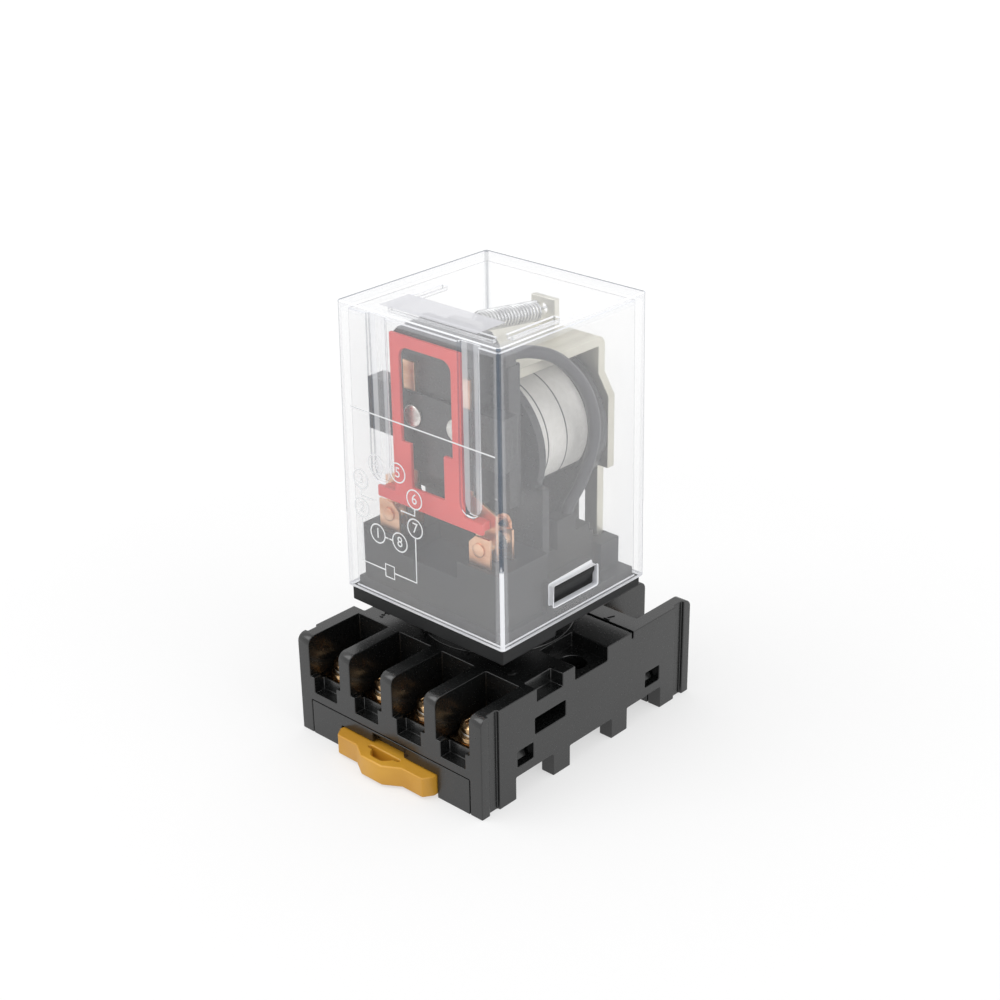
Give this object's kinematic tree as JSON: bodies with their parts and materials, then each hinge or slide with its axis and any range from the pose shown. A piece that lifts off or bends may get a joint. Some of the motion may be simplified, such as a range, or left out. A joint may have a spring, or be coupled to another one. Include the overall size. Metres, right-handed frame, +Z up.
{
  "type": "plug-in relay with socket",
  "caption": "Plug-in power relay with a clear cover over coil, armature and contacts, seated in a black screw-terminal socket with an amber rail clip.",
  "frame": {"origin": "on the base plane of the socket, in the middle of the rail seat, below the plug axis", "axes": "+Z up along the plug axis, -Y towards the end with the rail clip, +X to the right seen from that end"},
  "size_m": [0.041, 0.0557, 0.0736],
  "materials": {
    "black_moulding": "satin",
    "amber_moulding": "satin",
    "clear_cover": "polished",
    "terminal_brass": "satin",
    "plated_steel": "satin",
    "spring_steel": "polished",
    "copper": "satin",
    "silver": "polished",
    "red_moulding": "satin",
    "pale_label": "matte"
  },
  "bodies": {
    "socket": {"socket_body": "black_moulding", "base_plate": "black_moulding", "clamp_plates": "terminal_brass", "spring_washers": "plated_steel", "terminal_contact_1": "terminal_brass", "terminal_contact_2": "terminal_brass", "terminal_contact_3": "terminal_brass", "terminal_contact_4": "terminal_brass", "terminal_contact_5": "terminal_brass", "terminal_contact_6": "terminal_brass", "terminal_contact_7": "terminal_brass", "terminal_contact_8": "terminal_brass"},
    "rail_clip": {"din_clip": "amber_moulding"},
    "relay": {"relay_base": "black_moulding", "cover": "clear_cover", "bobbin": "black_moulding", "winding": "copper", "coil_tape": "black_moulding", "coil_label": "pale_label", "core": "plated_steel", "yoke": "plated_steel", "return_spring": "spring_steel", "pin_1": "plated_steel", "pin_2": "plated_steel", "pin_3": "plated_steel", "pin_4": "plated_steel", "pin_5": "plated_steel", "pin_6": "plated_steel", "pin_7": "plated_steel", "pin_8": "plated_steel", "nc_contact_left": "copper", "nc_contact_right": "copper", "no_contact_left": "copper", "no_contact_right": "copper", "fixed_tips": "silver", "braid_left": "copper", "braid_right": "copper", "coil_lead_left": "copper", "coil_lead_right": "copper", "lead_left": "black_moulding", "lead_right": "black_moulding"},
    "switch": {"armature": "plated_steel", "armature_carrier": "black_moulding", "contact_card": "red_moulding", "card_rivets": "silver", "moving_contact_left": "copper", "moving_contact_right": "copper", "moving_tips": "silver"},
    "screw_1": {"terminal_screw_1": "terminal_brass"},
    "screw_2": {"terminal_screw_2": "terminal_brass"},
    "screw_3": {"terminal_screw_3": "terminal_brass"},
    "screw_4": {"terminal_screw_4": "terminal_brass"},
    "screw_5": {"terminal_screw_5": "terminal_brass"},
    "screw_6": {"terminal_screw_6": "terminal_brass"},
    "screw_7": {"terminal_screw_7": "terminal_brass"},
    "screw_8": {"terminal_screw_8": "terminal_brass"}
  },
  "joints": [
    {"name": "relay_pull", "type": "slide", "parent": "socket", "child": "relay", "axis": [0, 0, 1], "range_m": [0, 0.016]},
    {"name": "armature_swing", "type": "hinge", "parent": "relay", "child": "switch", "pos_m": [0, -0.00523, 0.0647], "axis": [1, 0, 0], "range_deg": [0, 4], "stiffness_Nm_per_rad": 0.05, "springref_deg": -8.59, "deforming": ["return_spring", "braid_left", "braid_right", "lead_left", "lead_right"]},
    {"name": "clip_slide", "type": "slide", "parent": "socket", "child": "rail_clip", "axis": [0, -1, 0], "range_m": [0, 0.003], "stiffness_N_per_m": 400},
    {"name": "screw_1_turn", "type": "hinge", "parent": "socket", "child": "screw_1", "pos_m": [-0.0144, -0.0201, 0.0101], "axis": [0, 0, 1], "continuous": true},
    {"name": "screw_2_turn", "type": "hinge", "parent": "socket", "child": "screw_2", "pos_m": [-0.0048, -0.0201, 0.0101], "axis": [0, 0, 1], "continuous": true},
    {"name": "screw_3_turn", "type": "hinge", "parent": "socket", "child": "screw_3", "pos_m": [0.0048, -0.0201, 0.0101], "axis": [0, 0, 1], "continuous": true},
    {"name": "screw_4_turn", "type": "hinge", "parent": "socket", "child": "screw_4", "pos_m": [0.0144, -0.0201, 0.0101], "axis": [0, 0, 1], "continuous": true},
    {"name": "screw_5_turn", "type": "hinge", "parent": "socket", "child": "screw_5", "pos_m": [-0.0144, 0.0201, 0.0101], "axis": [0, 0, 1], "continuous": true},
    {"name": "screw_6_turn", "type": "hinge", "parent": "socket", "child": "screw_6", "pos_m": [-0.0048, 0.0201, 0.0101], "axis": [0, 0, 1], "continuous": true},
    {"name": "screw_7_turn", "type": "hinge", "parent": "socket", "child": "screw_7", "pos_m": [0.0048, 0.0201, 0.0101], "axis": [0, 0, 1], "continuous": true},
    {"name": "screw_8_turn", "type": "hinge", "parent": "socket", "child": "screw_8", "pos_m": [0.0144, 0.0201, 0.0101], "axis": [0, 0, 1], "continuous": true}
  ]
}
